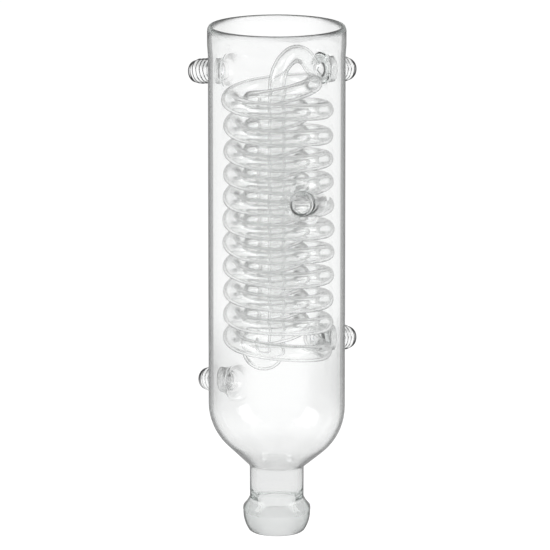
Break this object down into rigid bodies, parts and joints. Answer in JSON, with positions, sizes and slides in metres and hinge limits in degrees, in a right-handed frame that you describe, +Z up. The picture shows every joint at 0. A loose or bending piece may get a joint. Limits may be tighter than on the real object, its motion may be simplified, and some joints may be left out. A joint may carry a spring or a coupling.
{
  "type": "laboratory coil condenser",
  "caption": "Glass coil condenser: a tall jacket narrowing to a ground ball joint, with nested cooling coils inside and threaded side stubs for coolant and vacuum.",
  "frame": {"origin": "centre of the ball joint's mouth, at the bottom of the condenser", "axes": "+Z up the jacket's axis towards its open rim, +X to the right seen from the front port, +Y to the back"},
  "size_m": [0.0876, 0.0941, 0.264],
  "materials": {
    "glass": "clear, fire-polished borosilicate"
  },
  "bodies": {
    "root": {"jacket": "glass", "ball_joint": "glass", "outer_coil": "glass", "inner_coil": "glass", "centre_tube": "glass", "coolant_inlet_stub": "glass", "coolant_outlet_stub": "glass", "vacuum_stub": "glass", "lower_stub": "glass", "front_port": "glass"}
  },
  "joints": []
}
